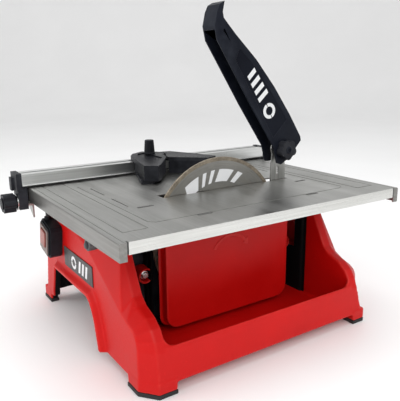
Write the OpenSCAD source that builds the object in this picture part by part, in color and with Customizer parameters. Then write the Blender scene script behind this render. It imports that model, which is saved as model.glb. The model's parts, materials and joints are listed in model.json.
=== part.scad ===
/* [Base] */
// Distance between the outer faces of the end walls along Y
base_len = 305.2; // [290:1:320]
// Height of the feet's rubber pads
pad_h = 4.5; // [3:0.5:8]
// Underside of the red housing above the floor
skirt_z = 12; // [8:1:20]
// Top of the end walls
wall_top = 145; // [135:1:147]
// Height of the tray's rim on the open side
rim_z = 50; // [40:1:60]
// Lean of the switch box, degrees
switch_lean = 13; // [0:1:15]

/* [Table] */
// Table size across the blade
table_w = 328; // [300:1:360]
// Table size along the blade
table_l = 358.8; // [340:1:380]
// Top of the table above the floor
table_z = 169; // [160:1:180]
// Sheet thickness
sheet = 1.6; // [1:0.1:3]
// Depth of the front and rear flanges
flange_end = 17; // [12:1:20]
// Depth of the side flanges
flange_side = 11.3; // [8:0.1:14]
// Height of the bevel pivot axis
tilt_z = 163; // [160:0.5:164]
// Bevel pivot axis across the table
tilt_x = 50; // [48:0.5:54]

/* [Blade] */
// Blade diameter
blade_d = 180; // [170:1:200]
// Blade thickness at the core
blade_t = 1.6; // [1.2:0.1:2.5]
// Blade thickness at the diamond rim
rim_t = 2.2; // [1.8:0.1:3]
// Radial depth of the diamond rim
rim_w = 4.5; // [3:0.5:10]
// Blade plane across the table
blade_x = 45.8; // [40:0.2:50]
// Arbor axis along the table
arbor_y = 3.9; // [-10:0.1:10]
// Arbor axis above the floor
arbor_z = 116.7; // [110:0.1:120]
// Arbor radius at the blade
arbor_r = 8; // [6:0.5:12.7]

/* [Guard] */
// Width of the guard's channel
guard_w = 24; // [20:1:30]
// Guard wall thickness
guard_t = 2; // [1.5:0.1:3]
// Guard pivot along the table
guard_y = 95; // [90:1:100]
// Guard pivot above the floor
guard_z = 209; // [200:1:215]
// Angle of the raised guard's centre line from vertical
guard_a = 28.8; // [20:0.2:40]

/* [Fence] */
// Fence rail centre across the table
fence_x = -102.5; // [-110:0.5:-60]
// Fence rail width
fence_w = 25; // [20:1:30]
// Fence rail underside
fence_z0 = 171; // [169.5:0.5:174]
// Fence rail top
fence_z1 = 186; // [180:1:195]
// Fence rail length
fence_l = 373; // [360:1:380]

/* [Hidden] */
red = [0.72, 0.05, 0.04];
black = [0.05, 0.05, 0.055];
grey = [0.3, 0.3, 0.31];
steel = [0.62, 0.62, 0.6];
bright = [0.82, 0.83, 0.83];
dark_steel = [0.42, 0.42, 0.43];
tan_rim = [0.62, 0.53, 0.42];
rubber_c = [0.035, 0.035, 0.035];
yf = base_len / 2;
band_y0 = 128;
band_y1 = 138.5;
band_prof = [[-139, skirt_z], [-110.5, 143], [-60, wall_top], [20, wall_top], [72, 143], [101, 88],
  [110, 80.5], [126, 75], [137, 67], [143.5, 57], [147, 46], [150, skirt_z]];
face_prof = [[-139, skirt_z], [-111, 140], [-60, 137], [-16, 127], [23, 117.5], [101, 73], [112, 69],
  [123, 65.5], [129, 62], [132, 57], [133, 48], [133.5, skirt_z]];
lip_out = [[-92, 57], [-80, 68.5], [27, 68.5], [36, 61], [47.5, 40], [56, skirt_z], [38, skirt_z],
  [28, 50]];
lip_in = [[-104, 57], [-87, 72], [29, 73.5], [41, 63], [53, 38], [61, skirt_z], [40, skirt_z], [30, 50]];
hollow_deep = [[-135.2, 5], [-131, 30], [-110.5, 128], [-60, 131], [-19, 121.5], [21, 112], [52, 94],
  [60, 86], [64, 5]];
hollow_top = [[-112, 80], [-107.5, 141], [44, 141], [60, 100], [60, 80]];
fn = 64;
fillet_r = 10;
lobe_n = 6;
knob_x = 64;
knob_z = 138;
ear_y = 141;
ear_prof = [[44, 128], [73, 128], [73, 145.5], [60, 145.5], [54, tilt_z], [46, tilt_z]];
slot_r = norm([knob_x - tilt_x, knob_z - tilt_z]);
slot_a = atan2(knob_z - tilt_z, knob_x - tilt_x);
knob_fx = -103;
knob_fz = 150.5;
gp_x = -103;
gp_y = -7;
box_x = -77.5;
box_z = 109;
lead_r = 2.4;
lead_x = -84;
lead_y = -161;
lead_z = 143;
lead_bend = 9;
th = table_w / 2;
tl = table_l / 2;

// ---------- helpers ----------
function area2(p) = let (n = len(p)) [for (i = [0:n - 1]) let (q = p[(i + 1) % n]) p[i][0] * q[1] - p[i][1] * q[0]]
  * [for (i = [0:n - 1]) 1];
// The same outline, always counter-clockwise
function ccw(p) = area2(p) < 0 ? [for (i = [len(p) - 1:-1:0]) p[i]] : p;
module poly(p) { polygon(ccw(p)); }
// A flat outline in X and Z, given thickness from y0 to y1
module xz(y0, y1) { translate([0, y1, 0]) rotate([90, 0, 0]) linear_extrude(y1 - y0) children(); }
// A flat outline in Y and Z, given thickness from x0 to x1
module yz(x0, x1) { translate([x0, 0, 0]) rotate([90, 0, 90]) linear_extrude(x1 - x0) children(); }
// A round bar along X
module bar_x(x0, x1, y, z, r) { translate([x0, y, z]) rotate([0, 90, 0]) cylinder(h = x1 - x0, r = r,
  $fn = fn); }
// A round bar along Y
module bar_y(y0, y1, x, z, r) { translate([x, y0, z]) rotate([-90, 0, 0]) cylinder(h = y1 - y0, r = r,
  $fn = fn); }
// The same thing at both ends of the table
module both_ends() { children(); mirror([0, 1, 0]) children(); }
// A slab through a row of outlines in X and Z, with as many corners each, at the given Y positions
module loft(outs, ys) {
  n = len(outs[0]);
  m = len(outs);
  pts = [for (k = [0:m - 1]) for (p = ccw(outs[k])) [p[0], ys[k], p[1]]];
  s1 = [for (k = [0:m - 2]) for (i = [0:n - 1]) let (j = (i + 1) % n, a = k * n) [a + i, a + j, a + n + j]];
  s2 = [for (k = [0:m - 2]) for (i = [0:n - 1]) let (j = (i + 1) % n, a = k * n) [a + i, a + n + j,
    a + n + i]];
  ends = [[for (i = [n - 1:-1:0]) i], [for (i = [0:n - 1]) (m - 1) * n + i]];
  polyhedron(points = pts, faces = concat(ends, s1, s2));
}
// A rounded rectangle centred on the origin
module rr(w, h, r) {
  square([w - 2 * r, h], center = true);
  square([w, h - 2 * r], center = true);
  for (sx = [-1, 1]) for (sy = [-1, 1]) translate([sx * (w / 2 - r), sy * (h / 2 - r)]) circle(r, $fn = 32);
}
// A slot with round ends between two points
module slot2(p, q, r) {
  d = q - p;
  translate(p) circle(r, $fn = 32);
  translate(q) circle(r, $fn = 32);
  translate(p) rotate(atan2(d[1], d[0])) translate([0, -r]) square([norm(d), 2 * r]);
}
// A lobed hand knob standing on the XY plane
module lobed(r, h, lobes, lobe_r) {
  cylinder(h = h, r = r - lobe_r * 0.45, $fn = fn);
  for (i = [0:lobes - 1]) rotate(i * 360 / lobes) translate([r - lobe_r, 0, 0]) cylinder(h = h,
    r = lobe_r, $fn = 32);
}

// ---------- base ----------
module arch_cut() {
  xz(-200, -100) poly([[-116, -5], [-113, 20], [-99.5, 62], [-95, 65], [24, 65], [32, 61], [38, 53],
    [43.5, 42], [51, 14], [52, -5]]);
}
module end_wall() {
  difference() {
    union() {
      loft([face_prof, band_prof, band_prof], [-yf, -band_y1, -band_y0 + 3]);
      loft([lip_out, lip_in, lip_in], [-yf - 7, -yf, -yf + 1]);
    }
    arch_cut();
    translate([-200, -band_y0, -1]) cube([400, 20, 200]);
    xz(-yf + 3.6, -100) poly(hollow_deep);
    xz(-band_y1 + 2.6, -100) poly(hollow_top);
  }
  difference() {
    xz(-yf, -143) poly([[-119.5, skirt_z], [-116.6, 20], [-102.5, 65.5], [-96, 68.4], [25.5, 68.4],
      [34.7, 63.5], [46.5, 43], [54.5, skirt_z]]);
    arch_cut();
  }
}
module foot_front_right(g) {
  poly([[111 - g, -yf - 0.4 - g], [132.9, -yf - 0.4 - g], [150.3 + g / 2, -138.9],
    [150.3 + g / 2, -118.4 + g], [111 - g, -118.4 + g]]);
}
module foot_rear_right(g) {
  poly([[131 - g, 133 - g], [150.3 + g / 2, 133 - g], [150.3 + g / 2, 150.6], [147.5, yf + 0.4 + g],
    [131 - g, yf + 0.4 + g]]);
}
module foot_left(g) {
  both_ends() poly([[-149.8 - g, -yf - 0.3 - g], [-124 + g, -yf - 0.3 - g], [-124 + g, -143 + g],
    [-149.8 - g, -143 + g]]);
}
// The rear right corner spreads towards the floor
module corner_flare() {
  intersection() {
    yz(134, 152) poly([[137, skirt_z], [147, skirt_z], [145.6, 20], [139.4, 50], [138, 56]]);
    xz(130, 150) poly(band_prof);
  }
}
// Rounds the inner corner between the tray's rim and an end wall
module rim_fillet() {
  difference() {
    intersection() {
      xz(-band_y0 - 1, -band_y0 + fillet_r) poly([[150, rim_z - 4], [150, rim_z + fillet_r],
        [138.2, rim_z + fillet_r], [140.4, 57], [143.9, rim_z - 4]]);
      xz(-150, -100) poly(band_prof);
    }
    yz(130, 160) translate([-band_y0 + fillet_r, rim_z + fillet_r]) circle(fillet_r, $fn = fn);
    yz(130, 160) translate([-band_y0 + fillet_r, rim_z]) square([5, 30]);
  }
}
module base_housing() {
  color(red) {
    difference() {
      union() {
        both_ends() end_wall();
        corner_flare();
        translate([0, 0, pad_h]) linear_extrude(12) foot_front_right(0);
        translate([0, 0, pad_h]) linear_extrude(12) foot_rear_right(0);
        translate([0, 0, pad_h]) linear_extrude(13) foot_left(0);
        xz(-band_y0 - 1, band_y0 + 1) poly([[-138.7, skirt_z], [-110.3, 142.5], [-106.5, 142.5],
          [-135, skirt_z]]);
        xz(-band_y0 - 1, band_y0 + 1) poly([[149.7, skirt_z], [146.85, rim_z], [143.8, rim_z],
          [144.8, skirt_z]]);
        both_ends() rim_fillet();
        translate([-30, -band_y0 - 1, skirt_z]) cube([177, 2 * band_y0 + 2, 3]);
        translate([-30, -band_y0 - 1, skirt_z]) cube([3, 2 * band_y0 + 2, 48]);
        both_ends() translate([-30, -band_y0 - 0.5, skirt_z]) cube([82, 3, 62]);
        both_ends() translate([49, -band_y0 - 0.5, skirt_z]) cube([14, 3, 129]);
      }
      both_ends() xz(-170, -ear_y) poly([[44, 128], [73, 128], [73, 150], [44, 150]]);
      bar_x(-31, -26, -96, 24, 7);
    }
  }
}
module rubber_feet() {
  color(rubber_c) linear_extrude(pad_h) {
    foot_front_right(0.5);
    foot_rear_right(0.5);
    foot_left(0.5);
  }
}
module drain_plug() {
  color(rubber_c) {
    bar_x(-36, -30.3, -96, 24, 10);
    bar_x(-30.3, -25, -96, 24, 6.6);
    bar_x(-42, -36, -96, 24, 4);
  }
}
module badge_plate() {
  color(grey) xz(-yf - 1.2, -yf) poly([[-54, 77], [33, 77], [33, 101], [-54, 101]]);
}

// ---------- drive ----------
module motor_plate() {
  color(black) difference() {
    translate([31, -125.3, 15]) cube([3, 250.6, 126]);
    bar_x(30, 35, arbor_y, arbor_z, 17);
  }
}
module motor_housing() {
  color(black) difference() {
    union() {
      bar_x(-78, 31, arbor_y, arbor_z, 42);
      bar_x(25, 31, arbor_y, arbor_z, 47);
      for (a = [0:15:345]) translate([-70, arbor_y, arbor_z]) rotate([a, 0, 0]) translate([0, -1,
        41]) cube([88, 2, 3]);
    }
    bar_x(-79, 24, arbor_y, arbor_z, 38.5);
    bar_x(20, 32, arbor_y, arbor_z, 16);
  }
}
module motor_cap() {
  color(grey) difference() {
    union() {
      bar_x(-92, -78, arbor_y, arbor_z, 41);
      bar_x(-98, -92, arbor_y, arbor_z, 24);
    }
    bar_x(-89, -70, arbor_y, arbor_z, 36);
    bar_x(-95, -88, arbor_y, arbor_z, 11);
    for (a = [0:30:330]) translate([-93, arbor_y, arbor_z]) rotate([a, 0, 0]) translate([0, -2,
      27]) cube([5, 4, 8]);
  }
}
module bearing(x0, x1, ri, ro) {
  color(steel) difference() {
    bar_x(x0, x1, arbor_y, arbor_z, ro);
    bar_x(x0 - 1, x1 + 1, arbor_y, arbor_z, ri);
  }
}
module front_bearing() { bearing(22, 31, 8.05, 16); }
module rear_bearing() { bearing(-95, -88.5, 5.05, 11); }
module arbor_shaft() {
  color(dark_steel) {
    bar_x(-94, -80, arbor_y, arbor_z, 5);
    bar_x(-76, 14, arbor_y, arbor_z, 34);
    bar_x(-80, 20, arbor_y, arbor_z, 14);
    bar_x(14, 60, arbor_y, arbor_z, arbor_r);
  }
}
module inner_flange() {
  color(steel) difference() {
    bar_x(38, blade_x - blade_t / 2, arbor_y, arbor_z, 26);
    bar_x(37, 50, arbor_y, arbor_z, arbor_r);
  }
}
module outer_flange() {
  color(steel) difference() {
    bar_x(blade_x + blade_t / 2, 52, arbor_y, arbor_z, 24);
    bar_x(37, 60, arbor_y, arbor_z, arbor_r);
  }
}
module arbor_nut() {
  color(steel) difference() {
    translate([52, arbor_y, arbor_z]) rotate([0, 90, 0]) cylinder(h = 8, r = 13, $fn = 6);
    bar_x(51, 61, arbor_y, arbor_z, arbor_r);
  }
}
module blade_core() {
  color(steel) difference() {
    bar_x(blade_x - blade_t / 2, blade_x + blade_t / 2, arbor_y, arbor_z, blade_d / 2 - rim_w);
    bar_x(30, 60, arbor_y, arbor_z, arbor_r);
  }
}
module diamond_rim() {
  color(tan_rim) difference() {
    bar_x(blade_x - rim_t / 2, blade_x + rim_t / 2, arbor_y, arbor_z, blade_d / 2);
    bar_x(30, 60, arbor_y, arbor_z, blade_d / 2 - rim_w);
  }
}

// ---------- blade cover ----------
module cover_outline(half, z0, z1, r) {
  translate([arbor_y, 0]) {
    translate([-half, z0 + r]) square([2 * half, z1 - z0 - r]);
    translate([-half + r, z0]) square([2 * half - 2 * r, r + 1]);
    for (s = [-1, 1]) translate([s * (half - r), z0 + r]) circle(r, $fn = 48);
  }
}
module cover_step(x0, x1, half, z0) { yz(x0, x1) cover_outline(half, z0, 128, 15); }
module blade_cover() {
  color(red) {
    difference() {
      union() {
        cover_step(34, 42, 96.5, 19);
        cover_step(42, 50, 94.5, 20);
        cover_step(50, 61, 91.5, 21.5);
        cover_step(61, 72.5, 88, 23);
      }
      yz(33, 60) cover_outline(92.2, 23.5, 129, 14);
      yz(60, 70.3) cover_outline(85.6, 25.3, 129, 13);
      translate([40, arbor_y - 40, 10]) cube([12, 80, 20]);
    }
    for (s = [-1, 1]) difference() {
      yz(34, 52) translate([arbor_y + s * 102, 84]) circle(9, $fn = 48);
      yz(36, 53) translate([arbor_y + s * 102, 84]) circle(7, $fn = 48);
      yz(33, 37) translate([arbor_y + s * 102, 84]) circle(2.6, $fn = 32);
      cover_step(33, 53, 94, 20);
    }
  }
}
module cover_screws() {
  color(bright) for (s = [-1, 1]) {
    bar_x(36, 47, arbor_y + s * 102, 84, 5);
    bar_x(34, 36, arbor_y + s * 102, 84, 2.6);
    translate([47, arbor_y + s * 102, 84]) rotate([0, 90, 0]) cylinder(h = 3.5, r = 3.6, $fn = 6);
  }
}

// ---------- riving knife and guard ----------
module knife_bracket() {
  color(dark_steel) difference() {
    translate([34, 97.5, 131]) cube([10.9, 13, 21]);
    for (z = [136, 147]) bar_x(33, 46, 104, z, 2.5);
  }
}
module knife_outline() {
  difference() {
    union() {
      poly([[110.5, 131], [108, 165], [108, 186], [104, 206], [86, 206], [84.5, 185], [84, 166],
        [88.5, 155], [94, 143], [97.5, 131]]);
      translate([guard_y, guard_z]) circle(11, $fn = 48);
    }
    translate([guard_y, guard_z]) circle(3, $fn = 32);
    slot2([95, 178], [95, 184], 2);
    for (z = [136, 147]) translate([104, z]) circle(2.5, $fn = 32);
  }
}
module riving_knife() { color(bright) yz(blade_x - 0.9, blade_x + 0.9) knife_outline(); }
module knife_screws() {
  color(dark_steel) for (z = [136, 147]) {
    bar_x(35, blade_x + 0.9, 104, z, 2.5);
    bar_x(blade_x + 0.9, blade_x + 3.4, 104, z, 4.4);
  }
}
// Guard outline along u (up its centre line) and v (towards its convex edge)
guard_pts = [[-14.6, -12.6], [-9, -17.6], [12, -13], [24, -14.3], [74, -19.9], [133, -24.7], [160, -27],
  [175, -22.6], [186, -12.8], [190.7, -6], [190.7, 1], [182, -6.5], [176, -8.2], [168, -6], [154, -1.9],
  [116, 11.3], [75, 20.9], [33, 27.3], [-1, 30.5], [-6, 29], [-11, 14], [-14.6, 7.4]];
module guard_frame() { translate([guard_y, guard_z]) rotate(90 + guard_a) children(); }
module guard_outline() { guard_frame() mirror([0, 1]) poly(guard_pts); }
module guard_cavity() {
  guard_frame() mirror([0, 1]) poly([[-30, -40], [-30, 16], [-12, 16], [-8, 26], [0, 27], [33, 23.8],
    [75, 17.4], [116, 7.8], [154, -5.5], [166, -10], [172, -30], [160, -40]]);
}
module guard_shell() {
  gx0 = blade_x - guard_w / 2;
  gx1 = blade_x + guard_w / 2;
  color(black) difference() {
    yz(gx0, gx1) guard_outline();
    yz(gx0 + guard_t, gx1 - guard_t) guard_cavity();
    yz(gx0 - 1, gx1 + 1) translate([guard_y, guard_z]) circle(3.08, $fn = 32);
    yz(gx1 - 0.6, gx1 + 1) guard_frame() mirror([0, 1]) poly([[22, -8], [30, 20], [74, 13.5], [116, 4],
      [138, -4], [130, -15], [74, -11]]);
    yz(gx0 - 1, gx1 + 1) guard_frame() mirror([0, 1]) poly([[150, -12], [165, -15], [166, -12.6]]);
    translate([gx0 - 1, guard_y - 30, 170]) cube([guard_t + 1.2, 60, 22]);
  }
}
module guard_rivet() {
  color(bright) {
    bar_x(blade_x - 15, blade_x + 12.3, guard_y, guard_z, 3);
    bar_x(blade_x - 17, blade_x - 12.3, guard_y, guard_z, 5.5);
  }
}
module guard_knob() {
  color(black) difference() {
    translate([blade_x + 12.4, guard_y, guard_z]) rotate([0, 90, 0]) lobed(12.5, 9, 5, 5);
    bar_x(blade_x + 12, blade_x + 12.45, guard_y, guard_z, 3.3);
  }
}

// ---------- table ----------
module groove(p, q) { translate([0, 0, table_z - 0.5]) linear_extrude(1) slot2(p, q, 0.8); }
module table_top() {
  color(bright) difference() {
    union() {
      difference() {
        union() {
          xz(-tl + 9, tl - 9) union() {
            translate([-th, table_z - flange_side]) square([table_w, flange_side - 3]);
            translate([-th + 3, table_z - 4]) square([table_w - 6, 4]);
            for (s = [-1, 1]) translate([s * (th - 3), table_z - 3]) circle(3, $fn = 32);
          }
          yz(-th, th) union() {
            translate([-tl, table_z - flange_end]) square([table_l, flange_end - 2]);
            translate([-tl + 2, table_z - 4]) square([table_l - 4, 4]);
            for (s = [-1, 1]) translate([s * (tl - 2), table_z - 2]) circle(2, $fn = 32);
          }
        }
        translate([-th + sheet, -tl + sheet, 100]) cube([table_w - 2 * sheet, table_l - 2 * sheet,
          table_z - sheet - 100]);
        for (sx = [-1, 1]) translate([sx * (th - 10) - 12, -tl + 8, 100]) cube([24, table_l - 16, 57.7]);
        for (sx = [-1, 1]) for (sy = [-1, 1]) translate([sx * (th - 1) - 2.5, sy * (tl - 8) - 0.8,
          150]) cube([5, 1.6, 30]);
      }
    }
    translate([33, -72, 150]) cube([15.8, 183, 30]);
    for (s = [[[70, -113], [70, -98]], [[128, -77], [128, -64]], [[70, 106], [70, 119]], [[129, 67],
      [129, 81]]])
      translate([0, 0, 150]) linear_extrude(30) slot2(s[0], s[1], 1.3);
    for (s = [[[-42, -120], [-2, -120]], [[19, -120.5], [59, -120.5]], [[-42, 120], [-2, 120]]])
      translate([0, 0, 150]) linear_extrude(30) slot2(s[0], s[1], 0.9);
    groove([-160, -164], [138, -164]);
    groove([138, -164], [138, -140]);
    groove([-160, -139], [138, -139]);
    groove([-160, 164], [138, 164]);
    groove([138, 164], [138, 140]);
    groove([-160, 139], [138, 139]);
    groove([120, -130], [126, -124]);
    groove([-60, -130], [120, -130]);
    groove([126, -124], [126, 124]);
    groove([120, 130], [126, 124]);
    groove([-60, 130], [120, 130]);
    translate([-th - 1, -tl + 4.2, table_z - 0.5]) cube([table_w + 2, 1, 2]);
    translate([-th - 1, tl - 5.2, table_z - 0.5]) cube([table_w + 2, 1, 2]);
  }
}
module tilt_slot() {
  translate([tilt_x, tilt_z]) difference() {
    poly([[0, 0], 50 * [cos(slot_a - 7), sin(slot_a - 7)], 60 * [cos(slot_a + 22), sin(slot_a + 22)],
      50 * [cos(slot_a + 52), sin(slot_a + 52)]]);
    circle(slot_r - 3.3, $fn = 64);
    difference() {
      circle(90, $fn = 64);
      circle(slot_r + 3.3, $fn = 64);
    }
  }
}
module tilt_bracket_front() {
  color(red) xz(-157, -155) difference() {
    union() {
      poly([[44, 158], [56, 133], [64, 131.5], [72, 135], [86, 156], [86, table_z - sheet],
        [43, table_z - sheet]]);
      translate([tilt_x, tilt_z]) circle(4, $fn = 32);
    }
    translate([tilt_x, tilt_z]) circle(2.06, $fn = 32);
    tilt_slot();
  }
}
module tilt_bracket_rear() { mirror([0, 1, 0]) tilt_bracket_front(); }
module pivot_ears() {
  color(red) both_ends() xz(-154.6, -ear_y) difference() {
    union() {
      poly(ear_prof);
      translate([tilt_x, tilt_z]) circle(4, $fn = 32);
    }
    translate([tilt_x, tilt_z]) circle(2, $fn = 32);
    translate([knob_x, knob_z]) circle(3.08, $fn = 32);
  }
}
module pivot_pins() {
  color(bright) both_ends() {
    bar_y(-158.6, -142, tilt_x, tilt_z, 2);
    bar_y(-160, -158.6, tilt_x, tilt_z, 3.6);
  }
}
module bevel_knob(y) {
  translate([knob_x, y, knob_z]) rotate([90, 0, 0]) {
    translate([0, 0, 4.6]) cylinder(h = 9, r = 6, $fn = fn);
    translate([0, 0, 9]) linear_extrude(7) rotate(25) union() {
      rr(19, 6.2, 3);
      circle(6.4, $fn = 48);
    }
  }
}
module bevel_knob_front() {
  color(grey) {
    bevel_knob(-153);
    bar_y(-158, -143, knob_x, knob_z, 3);
  }
}
module bevel_knob_rear() { mirror([0, 1, 0]) bevel_knob_front(); }

// ---------- fence ----------
module fence_section() {
  difference() {
    union() {
      translate([-fence_w / 2, 0.8]) square([fence_w, fence_z1 - fence_z0 - 0.8]);
      translate([-fence_w / 2 - 2, 0]) square([fence_w + 5, 1.4]);
    }
    translate([-fence_w / 2 + 2, 2.6]) square([fence_w - 4, fence_z1 - fence_z0 - 5]);
    translate([-3.2, fence_z1 - fence_z0 - 3]) square([6.4, 5]);
    translate([-fence_w / 2 + 5, fence_z1 - fence_z0 - 0.8]) square([1.2, 2]);
    translate([fence_w / 2 - 6.2, fence_z1 - fence_z0 - 0.8]) square([1.2, 2]);
  }
}
module fence_rail() {
  color(bright) translate([fence_x, 0, fence_z0]) xz(-fence_l / 2, fence_l / 2) fence_section();
}
module fence_front_clamp() {
  color(black) {
    translate([fence_x - 11.5, -191, 142.5]) cube([22, 10.6, 28.1]);
    translate([fence_x - 12.5, -193, 166]) cube([25, 6.5, 21]);
    translate([fence_x - 10, -196, 165]) cube([9, 3.2, 16]);
  }
}
module fence_rear_clamp() { mirror([0, 1, 0]) fence_front_clamp(); }
module fence_jaws() {
  color(bright) both_ends() {
    xz(-176, -174) poly([[fence_x - 9, 155], [fence_x + 10.5, 155], [fence_x + 10.5, 131],
      [fence_x - 9, 145]]);
    translate([fence_x - 9, -180.4, 146.5]) cube([19.5, 5, 2.4]);
  }
}
module fence_knob_front() {
  color(black) translate([knob_fx, 0, knob_fz]) rotate([90, 0, 0]) {
    translate([0, 0, 191.3]) cylinder(h = 3.2, r = 7.5, $fn = fn);
    translate([0, 0, 194.4]) lobed(12, 14, lobe_n, 4.2);
    translate([0, 0, 208.4]) cylinder(h = 1.6, r = 7, $fn = fn);
  }
}
module fence_knob_rear() { mirror([0, 1, 0]) fence_knob_front(); }

// ---------- mitre gauge ----------
module pivot_disc(r) { translate([gp_x, gp_y]) circle(r, $fn = 64); }
module gauge_head() {
  color(black) difference() {
    union() {
      translate([0, 0, 189.6]) linear_extrude(2.9) union() {
        poly([[-103, -36], [-116, -27], [-128, -6], [-112, 2], [-90, 6], [-69, 0.4], [-21, -35],
          [-14, -43], [-24, -57], [-37, -53]]);
        pivot_disc(20);
      }
      translate([0, 0, 186.4]) linear_extrude(3.3) poly([[-103, -36], [-116, -27], [-120, -24],
        [-112, -22], [-84, -20], [-66, -5], [-21, -35], [-14, -43], [-24, -57], [-37, -53]]);
      translate([0, 0, 173]) linear_extrude(17) poly([[-88.5, -38], [-37, -53], [-24, -57], [-14, -43],
        [-21, -35], [-62, -5], [-80, -18], [-88.5, -20]]);
      translate([0, 0, 169.4]) linear_extrude(5) poly([[-82, -40], [-40, -56], [-27, -60], [-20, -45],
        [-62, -12], [-82, -20]]);
    }
    translate([0, 0, 191]) linear_extrude(5) poly([[-100, -28], [-112, -20], [-116, -10], [-88, -8],
      [-66, -8], [-34, -34], [-30, -42], [-38, -45]]);
    translate([gp_x, gp_y, 180]) cylinder(h = 30, r = 3.08, $fn = 32);
  }
}
module gauge_arm() {
  color(black) difference() {
    union() {
      translate([0, 0, 186.3]) linear_extrude(2.9) union() {
        poly([[-69, 2.6], [-31, 42], [-39, 60], [-78, 47], [-112, 31], [-117, 8], [-103, -7], [-84, -1]]);
        pivot_disc(13.5);
      }
      translate([0, 0, 189]) linear_extrude(2.6) difference() {
        poly([[-69, 2.6], [-31, 42], [-39, 60], [-78, 47], [-112, 31], [-116, 12], [-84, 8]]);
        pivot_disc(23);
      }
      translate([0, 0, 170]) linear_extrude(17) poly([[-68.2, 3], [-31, 42], [-37.5, 58], [-45, 48],
        [-62, 26], [-72, 9]]);
    }
    translate([gp_x, gp_y, 180]) cylinder(h = 30, r = 3.08, $fn = 32);
    for (i = [0:8]) translate([-62 + 3.9 * i, 12 + 4 * i, 191.1]) rotate(136) cube([6, 0.7, 1]);
  }
}
module gauge_knob() {
  color(black) translate([gp_x, gp_y, 0]) {
    translate([0, 0, 186.6]) cylinder(h = 7, r = 3, $fn = fn);
    translate([0, 0, 192.8]) cylinder(h = 2, r = 8, $fn = fn);
    translate([0, 0, 194.8]) rotate_extrude($fn = 64) poly([[0, 0], [7.4, 0], [6.2, 16], [5.4, 17],
      [0, 17]]);
  }
}

// ---------- switch and cords ----------
module lean() { translate([box_x, -yf, box_z]) rotate([0, switch_lean, 0]) children(); }
module switch_box() {
  color(black) difference() {
    union() {
      lean() xz(-14.4, 0) poly([[-18, -19], [-13, -24], [13, -24], [18, -19], [18, 14], [14, 18],
        [-14, 18], [-18, 14]]);
      lean() xz(-16.4, -13) poly([[-16, -18], [-12, -22], [12, -22], [16, -18], [16, 12.5], [12.5, 16],
        [-12.5, 16], [-16, 12.5]]);
      translate([lead_x, lead_y, 122]) cylinder(h = 10, r = 4.2, $fn = fn);
    }
    lean() translate([-9, -20, -12]) cube([18, 14, 22]);
    translate([lead_x, lead_y, lead_z - lead_bend - 1]) cylinder(h = 9, r = lead_r + 0.02, $fn = 32);
  }
}
module switch_plate() {
  color(grey) lean() difference() {
    translate([-13.5, -17.6, -19]) cube([27, 1.2, 32]);
    translate([-8.5, -20, -11.5]) cube([17, 14, 21]);
  }
}
module switch_rocker() {
  color([0.45, 0.2, 0.18]) lean() translate([0, -13.6, -1]) {
    rotate([0, 90, 0]) translate([0, 0, -8]) cylinder(h = 16, r = 3, $fn = 32);
    translate([-8, -5.6, -9.7]) cube([16, 6, 19.4]);
  }
}
module quarter() {
  rotate_extrude(angle = 90, $fn = 64) translate([lead_bend, 0]) circle(lead_r, $fn = 32);
}
module switch_lead() {
  color(rubber_c) {
    translate([lead_x, lead_y, lead_z - lead_bend - 1]) cylinder(h = 1, r = lead_r, $fn = 32);
    translate([lead_x - lead_bend, lead_y, lead_z - lead_bend]) rotate([90, 0, 0]) quarter();
    bar_x(-108, lead_x - lead_bend, lead_y, lead_z, lead_r);
    translate([-108, lead_y + lead_bend, lead_z]) rotate([0, 0, 180]) quarter();
    bar_y(lead_y + lead_bend, -143.5, -108 - lead_bend, lead_z, lead_r);
  }
}
module cord_gland() {
  color(black) difference() {
    xz(-146, -134) poly([[-122, 131], [-113.25, 131], [-110.7, 142.7], [-110.7, 150], [-122, 150]]);
    bar_y(-147, -143.5, -108 - lead_bend, lead_z, lead_r + 0.02);
  }
}
module cord_inlet() {
  color(rubber_c) difference() {
    union() {
      bar_y(yf, yf + 4, -70, 100, 9);
      bar_y(yf + 4, yf + 16, -70, 100, 6.5);
    }
    bar_y(yf + 6, yf + 17, -70, 100, 4);
  }
}

base_housing();
rubber_feet();
drain_plug();
motor_plate();
motor_housing();
motor_cap();
front_bearing();
rear_bearing();
arbor_shaft();
inner_flange();
outer_flange();
arbor_nut();
blade_core();
diamond_rim();
blade_cover();
cover_screws();
knife_bracket();
riving_knife();
knife_screws();
guard_shell();
guard_rivet();
guard_knob();
table_top();
tilt_bracket_front();
tilt_bracket_rear();
pivot_ears();
pivot_pins();
bevel_knob_front();
bevel_knob_rear();
fence_rail();
fence_front_clamp();
fence_rear_clamp();
fence_jaws();
fence_knob_front();
fence_knob_rear();
gauge_head();
gauge_arm();
gauge_knob();
switch_box();
switch_plate();
switch_rocker();
switch_lead();
cord_gland();
cord_inlet();
badge_plate();
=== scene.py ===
import json
import math

import bmesh
import bpy
from mathutils import Matrix, Vector


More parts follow.
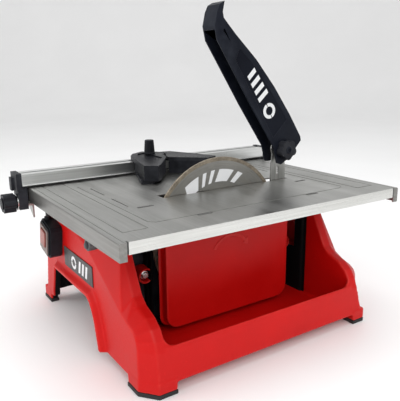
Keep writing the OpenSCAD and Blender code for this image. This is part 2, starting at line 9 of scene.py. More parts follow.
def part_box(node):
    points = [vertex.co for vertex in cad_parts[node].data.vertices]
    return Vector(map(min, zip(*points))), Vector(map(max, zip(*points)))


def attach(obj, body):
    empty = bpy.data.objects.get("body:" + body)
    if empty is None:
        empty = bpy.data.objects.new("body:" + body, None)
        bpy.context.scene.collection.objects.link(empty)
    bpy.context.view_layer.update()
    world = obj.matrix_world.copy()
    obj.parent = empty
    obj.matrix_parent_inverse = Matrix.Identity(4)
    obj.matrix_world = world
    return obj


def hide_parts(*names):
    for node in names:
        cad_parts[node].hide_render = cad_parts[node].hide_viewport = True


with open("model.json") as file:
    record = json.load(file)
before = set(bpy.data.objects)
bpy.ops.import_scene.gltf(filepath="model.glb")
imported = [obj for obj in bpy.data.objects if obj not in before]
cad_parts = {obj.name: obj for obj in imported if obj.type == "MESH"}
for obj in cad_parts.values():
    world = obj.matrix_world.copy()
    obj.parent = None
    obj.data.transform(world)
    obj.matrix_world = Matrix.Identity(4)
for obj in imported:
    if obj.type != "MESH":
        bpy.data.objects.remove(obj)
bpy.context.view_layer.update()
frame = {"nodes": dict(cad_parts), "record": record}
NODES = frame["nodes"]
MM = 0.001


def body_of(node):
    for body, members in frame["record"]["behaviour"]["bodies"].items():
        if node in members:
            return body
    return None


def pivot(name):
    """Where a joint of the record turns, in millimetres."""
    joints = frame["record"]["behaviour"]["joints"]
    at = next(j["pos_m"] for j in joints if j["name"] == name)
    return [round(v / MM, 4) for v in at]


SLOT_OF = {s["node"]: s["material_slot"] for s in frame["record"]["subparts"]}

# Centres of what turns, across the axis: (y, z) where it lies along X, (x, z) where it lies along Y
AX = tuple(pivot("blade_spin")[1:])
GUARD_PIVOT = tuple(pivot("guard_swing")[1:])
FENCE_KNOB = tuple(pivot("fence_knob_front_turn")[::2])
BEVEL_KNOB = tuple(pivot("bevel_knob_front_turn")[::2])
TABLE_Z = 169.0  # the table's upper face, mm

# ---------- material helpers ----------


class Shader:
    """One node material, built up a layer at a time."""

    def __init__(self, name, metallic=0.0, **constants):
        self.mat = bpy.data.materials.new(name)
        self.mat.use_nodes = True
        self.tree = self.mat.node_tree
        self.tree.nodes.clear()
        out = self.add("ShaderNodeOutputMaterial")
        self.bsdf = self.add("ShaderNodeBsdfPrincipled")
        self.link(self.bsdf.outputs["BSDF"], out.inputs["Surface"])
        self.bsdf.inputs["Metallic"].default_value = metallic
        for key, value in constants.items():
            self.bsdf.inputs[key.replace("_", " ")].default_value = value
        self.normal = None

    def add(self, kind):
        return self.tree.nodes.new(kind)

    def link(self, a, b):
        self.tree.links.new(a, b)

    def place(self, scale=(1, 1, 1), rotation=(0, 0, 0), location=(0, 0, 0)):
        coord = self.add("ShaderNodeTexCoord")
        mapping = self.add("ShaderNodeMapping")
        mapping.inputs["Scale"].default_value = scale
        mapping.inputs["Rotation"].default_value = rotation
        mapping.inputs["Location"].default_value = location
        self.link(coord.outputs["Object"], mapping.inputs["Vector"])
        return mapping.outputs["Vector"]

    def noise(self, vector, scale, detail=3.0, roughness=0.55):
        n = self.add("ShaderNodeTexNoise")
        n.inputs["Scale"].default_value = scale
        n.inputs["Detail"].default_value = detail
        n.inputs["Roughness"].default_value = roughness
        self.link(vector, n.inputs["Vector"])
        return n.outputs["Fac"]

    def cells(self, vector, scale):
        n = self.add("ShaderNodeTexVoronoi")
        n.inputs["Scale"].default_value = scale
        self.link(vector, n.inputs["Vector"])
        return n.outputs["Distance"]

    def span(self, value, lo, hi, a=0.3, b=0.7):
        n = self.add("ShaderNodeMapRange")
        n.inputs["From Min"].default_value = a
        n.inputs["From Max"].default_value = b
        n.inputs["To Min"].default_value = lo
        n.inputs["To Max"].default_value = hi
        self.link(value, n.inputs["Value"])
        return n.outputs["Result"]

    def math(self, op, a, b=None):
        n = self.add("ShaderNodeMath")
        n.operation = op
        for k, v in enumerate((a, b)):
            if v is None:
                continue
            if isinstance(v, (int, float)):
                n.inputs[k].default_value = v
            else:
                self.link(v, n.inputs[k])
        return n.outputs[0]

    def mix(self, fac, a, b):
        n = self.add("ShaderNodeMix")
        n.data_type = "RGBA"
        for key, v in ((0, fac), (6, a), (7, b)):
            if isinstance(v, (int, float)):
                n.inputs[key].default_value = v
            elif isinstance(v, tuple):
                n.inputs[key].default_value = (*v, 1.0)
            else:
                self.link(v, n.inputs[key])
        return n.outputs[2]

    def edges(self, lo=0.505, hi=0.56):
        geo = self.add("ShaderNodeNewGeometry")
        return self.span(geo.outputs["Pointiness"], 0.0, 1.0, lo, hi)

    def soft_edges(self, radius):
        n = self.add("ShaderNodeBevel")
        n.samples = 4
        n.inputs["Radius"].default_value = radius
        self.normal = n.outputs["Normal"]

    def bump(self, height, distance, strength=1.0):
        n = self.add("ShaderNodeBump")
        n.inputs["Distance"].default_value = distance
        n.inputs["Strength"].default_value = strength
        self.link(height, n.inputs["Height"])
        if self.normal is not None:
            self.link(self.normal, n.inputs["Normal"])
        self.normal = n.outputs["Normal"]

    def finish(self, color=None, rough=None):
        if color is not None:
            self.link(color, self.bsdf.inputs["Base Color"])
        if rough is not None:
            self.link(rough, self.bsdf.inputs["Roughness"])
        if self.normal is not None:
            self.link(self.normal, self.bsdf.inputs["Normal"])
        return self.mat


def plastic(name, deep, light, rough, grain=900.0, grain_mm=0.03, edge_highlight=None, bevel=0.4, **constants):
    """Moulded plastic: cloudy colour, uneven gloss, a fine moulded grain, and paler edges that are a painted
    highlight.
    """
    s = Shader(name, 0.0, **constants)
    here = s.place()
    s.soft_edges(bevel * MM)
    cloud = s.noise(here, 14.0, 4.0)
    speck = s.noise(here, 420.0, 2.0)
    color = s.mix(s.span(cloud, 0.0, 1.0), deep, light)
    color = s.mix(s.span(speck, 0.0, 0.12, 0.62, 0.75), color, tuple(min(1, c * 1.6 + 0.03) for c in light))
    # convex edges are painted paler, in uneven strength, as a highlight
    if edge_highlight:
        edge_highlight_mask = s.math("MULTIPLY", s.edges(), s.span(s.noise(here, 60.0, 4.0), 0.1, 0.75))
        color = s.mix(edge_highlight_mask, color, edge_highlight)
    gloss = s.math("ADD", s.span(cloud, rough[0], rough[1]), s.span(speck, -0.03, 0.05))
    s.bump(s.noise(here, grain, 2.0), grain_mm * MM, 0.35)
    s.bump(s.noise(here, 22.0, 2.0), 0.25 * MM, 0.25)
    return s.finish(color, gloss)


def brushed(name, dark, light, rough, scale, bump_mm=0.01, spots=0.25, **constants):
    """Sheet or bar metal with long fine lines, soft smears and small scratches."""
    s = Shader(name, 1.0, **constants)
    here = s.place()
    lines = s.noise(s.place(scale), 1.0, 5.0, 0.65)
    broad = s.noise(s.place(tuple(0.12 * v for v in scale)), 1.0, 3.0)
    smear = s.noise(here, 9.0, 4.0, 0.6)
    specks = s.noise(here, 700.0, 2.0)
    s.soft_edges(0.3 * MM)
    mixed = s.math("ADD", s.math("MULTIPLY", lines, 0.6), s.math("MULTIPLY", broad, 0.4))
    color = s.mix(s.span(mixed, 0.0, 1.0, 0.35, 0.65), dark, light)
    color = s.mix(s.span(smear, 0.0, spots, 0.45, 0.75), color, tuple(0.62 * c for c in dark))
    gloss = s.math("ADD", s.span(mixed, rough[0], rough[1]), s.span(smear, -0.04, 0.08))
    gloss = s.math("ADD", gloss, s.span(specks, 0.0, 0.08, 0.6, 0.8))
    s.bump(lines, bump_mm * MM, 0.5)
    return s.finish(color, gloss)


def turned(name, dark, light, rough, y, z, rings=2600.0, bump_mm=0.006, fan_highlight=None):
    """A disc ground on a lathe about an axis along X: fine rings, and slow fans of brightness painted on as
    a highlight.
    """
    s = Shader(name, 1.0)
    split = s.add("ShaderNodeSeparateXYZ")
    s.link(s.place(location=(0, -y, -z)), split.inputs[0])
    yy, zz = split.outputs[1], split.outputs[2]
    radius = s.math("SQRT", s.math("ADD", s.math("MULTIPLY", yy, yy), s.math("MULTIPLY", zz, zz)))
    angle = s.math("ARCTAN2", zz, yy)
    join = s.add("ShaderNodeCombineXYZ")
    s.link(s.math("MULTIPLY", radius, rings), join.inputs[0])
    s.link(s.math("MULTIPLY", angle, 3.0), join.inputs[1])
    ring = s.noise(join.outputs[0], 1.0, 4.0, 0.6)
    fan = s.noise(join.outputs[0], 0.02, 2.0)
    smear = s.noise(s.place(), 28.0, 4.0)
    color = s.mix(s.span(ring, 0.0, 1.0), dark, light)
    color = s.mix(s.span(smear, 0.0, 0.35, 0.5, 0.75), color, tuple(0.6 * c for c in dark))
    # broad fans of a paler warm tint are a painted highlight
    if fan_highlight:
        color = s.mix(s.span(fan, 0.0, 0.3, 0.45, 0.7), color, fan_highlight)
    gloss = s.math("ADD", s.span(ring, rough[0], rough[1]), s.span(smear, -0.03, 0.08))
    s.bump(ring, bump_mm * MM, 0.6)
    return s.finish(color, gloss)


def gritty(name, dark, light, rough):
    """Sintered diamond segments: coarse pale grains in a dull bronze bond."""
    s = Shader(name, 0.55)
    here = s.place()
    grains = s.cells(here, 900.0)
    speck = s.noise(here, 1600.0, 3.0, 0.7)
    patch = s.noise(here, 130.0, 4.0, 0.7)
    color = s.mix(s.span(patch, 0.0, 1.0, 0.35, 0.65), dark, light)
    color = s.mix(s.span(speck, 0.0, 0.8, 0.56, 0.7), color, (0.86, 0.82, 0.72))
    color = s.mix(s.span(grains, 0.5, 0.0, 0.05, 0.35), color, (0.16, 0.13, 0.1))
    s.bump(s.math("ADD", grains, speck), 0.12 * MM, 0.8)
    return s.finish(color, s.span(patch, rough[0], rough[1]))


def rubbery(name, base):
    s = Shader(name, 0.0)
    here = s.place()
    dust = s.noise(here, 40.0, 5.0, 0.65)
    speck = s.noise(here, 900.0, 2.0)
    color = s.mix(s.span(dust, 0.0, 0.35, 0.5, 0.8), base, (0.12, 0.11, 0.1))
    s.soft_edges(0.5 * MM)
    s.bump(speck, 0.06 * MM, 0.5)
    return s.finish(color, s.span(dust, 0.55, 0.8))


ARBOR_Y, ARBOR_Z = AX[0] * MM, AX[1] * MM
# the eighth argument of each plastic is the paler colour painted on its edges as a highlight
RED = plastic("red_abs", (0.52, 0.0022, 0.0018), (0.61, 0.0045, 0.0035), (0.36, 0.48), 1100.0, 0.02,
              (0.72, 0.05, 0.04), 1.1, Specular_IOR_Level=0.22)
BLACK = plastic("black_nylon", (0.0045, 0.005, 0.007), (0.010, 0.0105, 0.014), (0.34, 0.5), 1500.0, 0.05,
                (0.04, 0.042, 0.05), 0.5, Specular_IOR_Level=0.14)
GUARD_BLACK = plastic("guard_black", (0.0035, 0.0045, 0.009), (0.007, 0.009, 0.016), (0.3, 0.44),
                      1300.0, 0.03, (0.03, 0.034, 0.045), 0.6, Specular_IOR_Level=0.1)
# near-black painted shade, given to faces that lie in shadow inside the base and behind the cover
SHADE = plastic("painted_shade_black", (0.003, 0.003, 0.0035), (0.006, 0.006, 0.007), (0.5, 0.65), 900.0, 0.04,
                None, 0.4, Specular_IOR_Level=0.1)
GREY = plastic("grey_plastic", (0.038, 0.04, 0.043), (0.06, 0.062, 0.066), (0.38, 0.52), 1400.0, 0.05,
               (0.18, 0.18, 0.18), 0.4, Specular_IOR_Level=0.3)
PLATE = plastic("switch_plate_face", (0.13, 0.085, 0.075), (0.19, 0.14, 0.125), (0.3, 0.45), 1500.0, 0.02,
                (0.3, 0.25, 0.23), 0.3, Specular_IOR_Level=0.3)
ROCKER = plastic("rocker_red", (0.22, 0.045, 0.035), (0.30, 0.075, 0.06), (0.25, 0.38), 1500.0, 0.02,
                 (0.45, 0.2, 0.17), 0.4, Specular_IOR_Level=0.3)
BADGE = plastic("badge_face", (0.022, 0.022, 0.022), (0.036, 0.036, 0.036), (0.35, 0.5), 1500.0, 0.02,
                (0.12, 0.12, 0.12), 0.3, Specular_IOR_Level=0.25)
PAINT_WHITE = plastic("white_print", (0.74, 0.75, 0.76), (0.84, 0.85, 0.86), (0.4, 0.55), 1800.0, 0.01,
                      None, 0.05, Specular_IOR_Level=0.3)
RUBBER = rubbery("rubber", (0.010, 0.010, 0.011))
SHEET = brushed("stainless_sheet", (0.32, 0.32, 0.305), (0.46, 0.46, 0.445), (0.30, 0.44),
                (14.0, 420.0, 420.0), 0.012, 0.22, Anisotropic=0.45)
# a brighter copy of the stainless, painted light for the sunlit side flanges
SIDE_SHEET_LIT = brushed("flange_side_painted_light", (0.60, 0.60, 0.575), (0.80, 0.80, 0.775), (0.22, 0.34),
               (420.0, 9.0, 420.0), 0.01, 0.12)
# a darker copy of the stainless, painted shade for the end flanges
END_SHEET_SHADED = brushed("flange_end_painted_shade", (0.20, 0.195, 0.185), (0.32, 0.315, 0.30), (0.26, 0.4),
                 (9.0, 420.0, 420.0), 0.01, 0.15)
ALU = brushed("anodised_rail", (0.60, 0.61, 0.60), (0.80, 0.81, 0.80), (0.24, 0.36),
              (900.0, 10.0, 900.0), 0.012, 0.1)
DARK_ALU = brushed("rail_lip", (0.06, 0.06, 0.06), (0.11, 0.11, 0.11), (0.3, 0.45),
                   (900.0, 10.0, 900.0), 0.01, 0.1)
# the blade gets broad fans of a pale warm tint as painted highlight
BLADE = turned("blade_steel", (0.27, 0.265, 0.25), (0.43, 0.425, 0.40), (0.24, 0.38), ARBOR_Y, ARBOR_Z,
               fan_highlight=(0.46, 0.41, 0.33))
FLANGES = turned("turned_flange", (0.3, 0.3, 0.3), (0.5, 0.5, 0.5), (0.25, 0.4), ARBOR_Y, ARBOR_Z, 3200.0)
KNIFE = brushed("knife_steel", (0.36, 0.36, 0.345), (0.54, 0.54, 0.52), (0.26, 0.38),
                (500.0, 500.0, 12.0), 0.01, 0.2)
ZINC = brushed("zinc_plate", (0.62, 0.63, 0.62), (0.85, 0.86, 0.85), (0.14, 0.26),
               (300.0, 60.0, 300.0), 0.01, 0.2)
DIAMOND = gritty("diamond_rim", (0.16, 0.13, 0.095), (0.34, 0.29, 0.22), (0.45, 0.7))

LOOK = {
    "red_plastic": RED, "black_plastic": BLACK, "grey_plastic": GREY, "rocker_plastic": ROCKER,
    "rubber": RUBBER, "stainless": SHEET, "steel": KNIFE, "zinc_steel": ZINC, "aluminium": ALU,
    "diamond": DIAMOND,
}

# ---------- mesh helpers ----------


def piece(name, bm, material, body, slot, replaces=(), smooth=35.0):
    """Turns a bmesh into a finished piece that rides on a body."""
    mesh = bpy.data.meshes.new(name)
    bmesh.ops.recalc_face_normals(bm, faces=bm.faces[:])
    limit = math.radians(smooth)
    for f in bm.faces:
        f.smooth = True
    for e in bm.edges:
        e.smooth = not (len(e.link_faces) != 2 or e.calc_face_angle(0.0) > limit)
    bm.to_mesh(mesh)
    bm.free()
    obj = bpy.data.objects.new(name, mesh)
    bpy.context.scene.collection.objects.link(obj)
    for m in material if isinstance(material, (list, tuple)) else [material]:
        mesh.materials.append(m)
    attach(obj, body)
    if replaces:
        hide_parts(*replaces)
    flat = obj.modifiers.new("flat_faces", "WEIGHTED_NORMAL")
    flat.keep_sharp = True
    flat.weight = 100
    return obj


def cleaned(node):
    """A CAD node's shape as a bmesh with its split corners joined and its flat faces whole."""
    bm = bmesh.new()
    bm.from_mesh(NODES[node].data)
    bmesh.ops.remove_doubles(bm, verts=bm.verts[:], dist=0.004 * MM)
    bmesh.ops.dissolve_limit(bm, angle_limit=math.radians(0.6), verts=bm.verts[:], edges=bm.edges[:])
    return bm


def rounded(node, width, material=None, steps=2, angle=28.0, name=None):
    """A CAD node with its corners broken by a small radius, as moulding or deburring leaves them."""
    bm = cleaned(node)
    sharp = [e for e in bm.edges if len(e.link_faces) == 2 and e.calc_face_angle(0.0) > math.radians(angle)]
    bmesh.ops.bevel(bm, geom=sharp, offset=width * MM, segments=steps, profile=0.5, affect="EDGES",
                    clamp_overlap=True)
    slot = SLOT_OF[node]
    return piece(name or node + "_rounded", bm, material or LOOK[slot], body_of(node), slot, (node,), 32.0)


def softened(node, voxel, passes, material=None, name=None):
    """A CAD node remade as one skin with moulded fillets on every corner."""
    bm = cleaned(node)
    mesh = bpy.data.meshes.new("soft")
    bm.to_mesh(mesh)
    bm.free()
    obj = bpy.data.objects.new("soft", mesh)
    bpy.context.scene.collection.objects.link(obj)
    remesh = obj.modifiers.new("remesh", "REMESH")
    remesh.mode = "VOXEL"
    remesh.voxel_size = voxel * MM
    smooth = obj.modifiers.new("smooth", "SMOOTH")
    smooth.factor = 0.5
    smooth.iterations = passes
    graph = bpy.context.evaluated_depsgraph_get()
    done = bpy.data.meshes.new_from_object(obj.evaluated_get(graph))
    bpy.data.objects.remove(obj)
    out = bmesh.new()
    out.from_mesh(done)
    slot = SLOT_OF[node]
    return piece(name or node + "_moulded", out, material or LOOK[slot], body_of(node), slot, (node,), 60.0)


def prism(name, outlines, axis, lo, hi, material, body, slot, replaces=(), width=0.0, smooth=35.0):
    """Flat outlines in millimetres, given a thickness along an axis, with broken edges if asked."""
    bm = bmesh.new()
    for outline in outlines:
        rings = []
        for level in (lo, hi):
            ring = []
            for p, q in outline:
                at = {"x": (level, p, q), "y": (p, level, q), "z": (p, q, level)}[axis]
                ring.append(bm.verts.new(Vector(at) * MM))
            rings.append(ring)
        n = len(outline)
        bm.faces.new(rings[0])
        bm.faces.new(rings[1])
        for k in range(n):
            bm.faces.new((rings[0][k], rings[0][(k + 1) % n], rings[1][(k + 1) % n], rings[1][k]))
    bmesh.ops.recalc_face_normals(bm, faces=bm.faces[:])
    if width:
        sharp = [e for e in bm.edges if e.calc_face_angle(0.0) > math.radians(28)]
        bmesh.ops.bevel(bm, geom=sharp, offset=width * MM, segments=2, profile=0.5, affect="EDGES",
                        clamp_overlap=True)
    return piece(name, bm, material, body, slot, replaces, smooth)


def lathe(name, profile, axis, centre, material, body, slot, replaces=(), steps=96, smooth=35.0):
    """A closed profile of (along, radius) pairs in millimetres, turned about a line along an axis."""
    bm = bmesh.new()
    rings = []
    for k in range(steps):
        c, s = math.cos(2 * math.pi * k / steps), math.sin(2 * math.pi * k / steps)
        ring = []
        for along, r in profile:
            p, q = centre[0] + r * c, centre[1] + r * s
            at = {"x": (along, p, q), "y": (p, along, q), "z": (p, q, along)}[axis]
            ring.append(bm.verts.new(Vector(at) * MM))
        rings.append(ring)
    n = len(profile)
    for k in range(steps):
        one, two = rings[k], rings[(k + 1) % steps]
        for j in range(n):
            if profile[j][1] == 0 and profile[(j + 1) % n][1] == 0:
                continue
            bm.faces.new((one[j], one[(j + 1) % n], two[(j + 1) % n], two[j]))
    bmesh.ops.remove_doubles(bm, verts=bm.verts[:], dist=0.0005 * MM)
    bmesh.ops.dissolve_degenerate(bm, edges=bm.edges[:], dist=0.0005 * MM)
    return piece(name, bm, material, body, slot, replaces, smooth)


def band(r0, r1, start, stop, slant, centre, steps=14):
    """A slice of a ring between two angles, its ends slanted."""
    cy, cz = centre
    rim = []
    for k in range(steps + 1):
        a = math.radians(start + (stop - start) * k / steps)
        rim.append((cy + r1 * math.cos(a), cz + r1 * math.sin(a)))
    for k in range(steps, -1, -1):
        a = math.radians(start + slant + (stop - start) * k / steps)
        rim.append((cy + r0 * math.cos(a), cz + r0 * math.sin(a)))
    return rim


def dress(obj, choose, extra):
    """Gives the faces that a test picks out another material."""
    obj.data.materials.append(extra)
    last = len(obj.data.materials) - 1
    for f in obj.data.polygons:
        if choose(f.center / MM, f.normal):
            f.material_index = last
    return obj

# ---------- base ----------



def inside_base(c, n):
    """The faces inside the base that are painted near-black as shade: its hollow, and the inner side of the
    left wall.
    """
    hollow = abs(c.y) < 130.2 and 15.4 < c.z and -133 < c.x < 70
    inward = n.x > -0.5 and (n.x > 0.1 or abs(c.y) > 124 or c.x > -32)
    left_wall = abs(c.y) < 151 and c.x < -98 and n.x > 0.35
    return (hollow and inward) or left_wall


housing = softened("base_housing", 1.25, 4)
# the hollow and the left wall's inner side are painted near-black as shade
dress(housing, inside_base, SHADE)
rounded("rubber_feet", 0.9, RUBBER, 3)
for part in ("motor_plate", "motor_housing", "motor_cap", "cord_gland", "cord_inlet", "drain_plug"):
    rounded(part, 0.7)
for part in ("pivot_ears", "tilt_bracket_front", "tilt_bracket_rear"):
    rounded(part, 0.5, RED)
cover = softened("blade_cover", 1.0, 5)
# the red cover's outer steps are painted near-black as shade
dress(cover, lambda c, n: c.x < 57 and abs(c.y - AX[0]) < 97.5, SHADE)

# ---------- switch ----------
for part, width in (("switch_box", 1.4), ("switch_rocker", 0.9)):
    rounded(part, width, steps=3)
rounded("switch_plate", 0.3, PLATE)

# ---------- knobs, clamps and gauge ----------
for part, width in (("fence_front_clamp", 1.0), ("fence_rear_clamp", 1.0), ("fence_knob_front", 1.0),
                    ("fence_knob_rear", 1.0), ("guard_knob", 1.2), ("bevel_knob_front", 0.8),
                    ("bevel_knob_rear", 0.8), ("gauge_head", 0.7), ("gauge_arm", 0.5), ("gauge_knob", 0.7)):
    rounded(part, width, steps=3)
for part in ("fence_jaws", "riving_knife"):
    rounded(part, 0.25, KNIFE)
guard = rounded("guard_shell", 0.9, GUARD_BLACK, 3)
rail = rounded("fence_rail", 0.35, ALU)
dress(rail, lambda c, n: c.z < 172.3, DARK_ALU)
for part in ("knife_screws", "cover_screws", "guard_rivet", "pivot_pins", "knife_bracket"):
    rounded(part, 0.3, ZINC)
rounded("arbor_nut", 0.5, ZINC)
rounded("badge_plate", 0.5, BADGE)
table_sheet = rounded("table_top", 0.3, SHEET, 2)
# side flanges get a brighter steel as painted light, end flanges a darker steel as painted shade
dress(table_sheet, lambda c, n: abs(n.z) < 0.6 and abs(c.x) > 161 and abs(c.y) < 172, SIDE_SHEET_LIT)
dress(table_sheet, lambda c, n: abs(n.z) < 0.6 and abs(c.y) > 176, END_SHEET_SHADED)

# ---------- blade, flanges and bearings, turned smooth ----------
lathe("blade_disc", [(45.0, 8.0), (46.6, 8.0), (46.6, 85.48), (45.0, 85.48)], "x", AX, BLADE, "spindle",
      SLOT_OF["blade_core"], ("blade_core",), 192)
lathe("diamond_band", [(44.7, 85.5), (46.9, 85.5), (46.9, 89.6), (46.5, 90.0), (45.1, 90.0), (44.7, 89.6)],
      "x", AX, DIAMOND, "spindle", SLOT_OF["diamond_rim"], ("diamond_rim",), 192, 20.0)
for part in ("arbor_shaft", "inner_flange", "outer_flange", "front_bearing", "rear_bearing"):
    rounded(part, 0.4, FLANGES)

# ---------- plain printed marks and pressed signs ----------
prism("blade_print", [band(61, 75.5, 62, 68, 6, AX, 4), band(61, 75.5, 73, 89, 6, AX),
                      band(61, 75.5, 94, 98, 6, AX, 3), band(61, 75.5, 103, 107, 6, AX, 3),
                      band(61, 75.5, 112, 128, 6, AX)], "x", 46.55, 46.66, PAINT_WHITE, "spindle",
      SLOT_OF["blade_core"])


LEAN_SIN, LEAN_COS = 0.4818, 0.8763  # the raised guard leans 28.8 degrees from upright


def along_guard(u, v):
    """A point u mm up the raised guard from its pivot and v mm across it, as (y, z)."""
    return (GUARD_PIVOT[0] - LEAN_SIN * u + LEAN_COS * v, GUARD_PIVOT[1] + LEAN_COS * u + LEAN_SIN * v)


def ring_halves(centre, r0, r1, place):
    """Two half rings that make a plain circle sign."""
    out = []
    for a in (4, 184):
        pts = []
        for r, order in ((r1, range(13)), (r0, range(12, -1, -1))):
            for k in order:
                t = math.radians(a + 172 * k / 12)
                pts.append(place(centre[0] + r * math.cos(t), centre[1] + r * math.sin(t)))
        out.append(pts)
    return out


slashes = [[along_guard(u, -7 - 0.05 * (u - 70)), along_guard(u + 5.5, -7.3 - 0.05 * (u - 70)),
            along_guard(u + 9.5, 9.5 - 0.16 * (u - 70)), along_guard(u + 4.0, 9.8 - 0.16 * (u - 70))]
           for u in (70, 80, 90, 100)]
prism("guard_print", ring_halves((54, 1.5), 5.2, 9.3, along_guard) + slashes, "x", 57.15, 57.26, PAINT_WHITE,
      "guard", SLOT_OF["guard_shell"])
bars = [[(x, 81.5), (x + 5.2, 81.5), (x + 9.0, 96.5), (x + 3.8, 96.5)] for x in (-8, 2, 12)]
prism("badge_print", ring_halves((-22, 89), 4.3, 7.8, lambda x, z: (x, z)) + bars, "y", -153.87, -153.75,
      PAINT_WHITE, "base", SLOT_OF["badge_plate"])
prism("turn_arrow", [band(25, 28.5, 40, 150, 0, (3, 92), 20),
                     [(3 + 21 * 0.766, 92 + 21 * 0.643), (3 + 32.5 * 0.766, 92 + 32.5 * 0.643), (28, 104)]],
      "x", 72.0, 72.95, RED, "base", SLOT_OF["blade_cover"], (), 0.15)
MARK_FOOT = TABLE_Z - 0.1  # marks start a little below the face that they lie on
prism("table_pointer", [[(56, 36), (80, 33), (80, 39)]], "z", MARK_FOOT, TABLE_Z + 0.25, SHEET, "table",
      SLOT_OF["table_top"], (), 0.1)


def slot_edges(y0, y1, x, r0, r1):
    """A thin dark ring round a drain slot, as two halves."""
    out = []
    for first, mid in ((0, y1), (180, y0)):
        far = y0 if mid == y1 else y1
        half = (mid + far) / 2
        pts = []
        for r, order in ((r1, range(9)), (r0, range(8, -1, -1))):
            arc = [(x + r * math.cos(math.radians(first + 180 * k / 8)),
                    mid + r * math.sin(math.radians(first + 180 * k / 8))) for k in order]
            ends = [(arc[0][0], half), (arc[-1][0], half)]
            pts += [ends[0]] + arc + [ends[1]]
        out.append(pts)
    return out


slot_rings = []
for x, y0, y1 in ((70, -113, -98), (128, -77, -64), (70, 106, 119), (129, 67, 81)):
    slot_rings += slot_edges(y0, y1, x, 1.45, 2.1)
seam = ((160.7, 170.75), (163.3, 170.75), (163.3, 172.05), (160.7, 172.05))
seams = [[(sx * x, sy * y) for x, y in seam] for sx in (-1, 1) for sy in (-1, 1)]
prism("corner_seams", seams, "z", 158.2, 168.5, DARK_ALU, "table", SLOT_OF["table_top"])
prism("dark_slot_rings", slot_rings, "z", MARK_FOOT, TABLE_Z + 0.12, DARK_ALU, "table", SLOT_OF["table_top"])
gauge_rule = [[(x, y), (x + 0.5, y + 0.5), (x + 4.2, y - 3.2), (x + 3.7, y - 3.7)]
              for x, y in ((-64 + 3.9 * k, 19 + 4.0 * k) for k in range(8))]
prism("gauge_marks", gauge_rule, "z", 191.5, 191.68, GREY, "gauge_arm", SLOT_OF["gauge_arm"])

# ---------- small fittings ----------
MOTOR_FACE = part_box("motor_cap")[0][0] / MM + 6.0
for end, side in (("front", -1), ("rear", 1)):
    lathe("fence_washer_" + end, [(side * 191.25, 7.8), (side * 191.25, 10.2), (side * 192.5, 10.2),
                                  (side * 192.5, 7.8)], "y", FENCE_KNOB, ZINC, "fence",
          SLOT_OF["cover_screws"])
    fence_hub = ((208.0, 0), (208.0, 5.0), (209.6, 4.6), (209.9, 3.8), (209.9, 0))
    lathe("fence_hub_" + end, [(side * y, r) for y, r in fence_hub], "y", FENCE_KNOB, BLACK,
          "fence_knob_" + end, SLOT_OF["fence_knob_" + end])
    bevel_hub = ((168.4, 0), (168.4, 4.6), (169.4, 4.2), (169.8, 3.4), (169.8, 0))
    lathe("bevel_hub_" + end, [(side * y, r) for y, r in bevel_hub], "y", BEVEL_KNOB, BLACK,
          "bevel_knob_" + end, SLOT_OF["bevel_knob_" + end])
guard_hub = [(66.9, 0), (66.9, 4.6), (67.8, 4.3), (68.1, 3.6), (68.1, 2.4), (67.3, 2.0), (67.3, 0)]
lathe("guard_knob_hub", guard_hub, "x", GUARD_PIVOT, GUARD_BLACK, "guard_knob", SLOT_OF["guard_knob"])
SCREW_RING = 33  # radius of the circle that the motor's four screws stand on, mm
for k in range(4):
    a = math.radians(45 + 90 * k)
    at = (AX[0] + SCREW_RING * math.cos(a), AX[1] + SCREW_RING * math.sin(a))
    lathe("motor_screw_%d" % k, [(MOTOR_FACE + 0.4, 0), (MOTOR_FACE + 0.4, 3.0), (MOTOR_FACE - 0.6, 3.0),
                                 (MOTOR_FACE - 1.2, 2.2), (MOTOR_FACE - 1.2, 0)], "x", at, ZINC,
          body_of("motor_cap"), SLOT_OF["cover_screws"], (), 32)

# ---------- stage, lights and camera ----------
VIEW_AZIMUTH = math.radians(56.56)


def plain_stage():
    s = Shader("floor", 0.0)
    cloud = s.noise(s.place(), 3.0)
    color = s.mix(s.span(cloud, 0.0, 1.0), (0.95, 0.95, 0.95), (0.98, 0.98, 0.98))
    mat = s.finish(color, s.span(cloud, 0.5, 0.6))
    bm = bmesh.new()
    profile = [(-3.2, 0.0)]
    profile += [(2.6 + 1.2 * math.sin(a), 1.2 - 1.2 * math.cos(a)) for a in
                (math.radians(90 * k / 12) for k in range(13))]
    profile += [(3.8, 4.0)]
    rows = [[bm.verts.new((x, d, h)) for d, h in profile] for x in (-4.5, 4.5)]
    for k in range(len(profile) - 1):
        bm.faces.new((rows[0][k], rows[1][k], rows[1][k + 1], rows[0][k + 1]))
    mesh = bpy.data.meshes.new("sweep")
    for f in bm.faces:
        f.smooth = True
    bm.to_mesh(mesh)
    bm.free()
    obj = bpy.data.objects.new("sweep", mesh)
    obj.rotation_euler = (0, 0, VIEW_AZIMUTH)
    bpy.context.scene.collection.objects.link(obj)
    mesh.materials.append(mat)


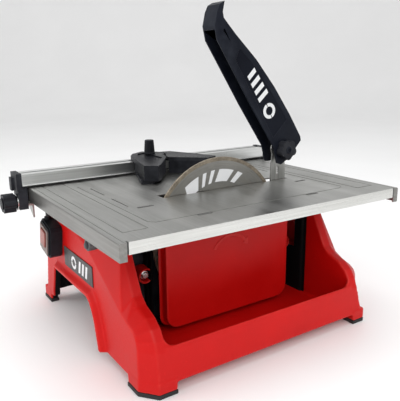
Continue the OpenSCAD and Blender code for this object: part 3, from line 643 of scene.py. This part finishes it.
def soft_light(name, at, size, power, to=(0, 0, 0.12), tint=(1, 1, 1)):
    lamp = bpy.data.lights.new(name, "AREA")
    lamp.shape = "RECTANGLE"
    lamp.size, lamp.size_y = size
    lamp.energy = power
    lamp.color = tint
    obj = bpy.data.objects.new(name, lamp)
    obj.location = at
    obj.rotation_euler = (Vector(to) - Vector(at)).to_track_quat("-Z", "Y").to_euler()
    bpy.context.scene.collection.objects.link(obj)


plain_stage()
world = bpy.data.worlds.new("studio")
world.use_nodes = True
world.node_tree.nodes["Background"].inputs[0].default_value = (1, 1, 1, 1)
world.node_tree.nodes["Background"].inputs[1].default_value = 0.68
bpy.context.scene.world = world
bpy.context.scene.view_settings.view_transform = "Standard"
soft_light("key", (1.5, -0.5, 1.25), (1.2, 0.9), 11)
soft_light("top", (0.0, 0.1, 1.9), (1.6, 1.6), 14)
soft_light("fill", (-0.5, -1.9, 0.9), (1.1, 1.1), 12)

# The camera is fitted to the photo: it stands at CAMERA_AT, and looks down by EL with a slight roll
AZ, EL, ROLL = VIEW_AZIMUTH, math.radians(14.15), math.radians(-0.50)
CAMERA_AT = (0.5382, -0.3472, 0.3070)
SENSOR_MM = 36.0
FOCAL_WIDTHS = 1.30915212  # focal length over the picture's width
back = Vector((math.sin(AZ) * math.cos(EL), -math.cos(AZ) * math.cos(EL), math.sin(EL)))
right0 = Vector((math.cos(AZ), math.sin(AZ), 0.0))
up0 = back.cross(right0)
right = right0 * math.cos(ROLL) + up0 * math.sin(ROLL)
up = back.cross(right)
cam_data = bpy.data.cameras.new("camera")
cam_data.lens = SENSOR_MM * FOCAL_WIDTHS
cam_data.sensor_width = SENSOR_MM
cam_data.sensor_fit = "AUTO"
cam_data.dof.use_dof = False
cam_data.clip_start = 0.02
camera = bpy.data.objects.new("camera", cam_data)
camera.matrix_world = Matrix((
    (right.x, up.x, back.x, CAMERA_AT[0]),
    (right.y, up.y, back.y, CAMERA_AT[1]),
    (right.z, up.z, back.z, CAMERA_AT[2]),
    (0, 0, 0, 1)))
bpy.context.scene.collection.objects.link(camera)
bpy.context.scene.camera = camera
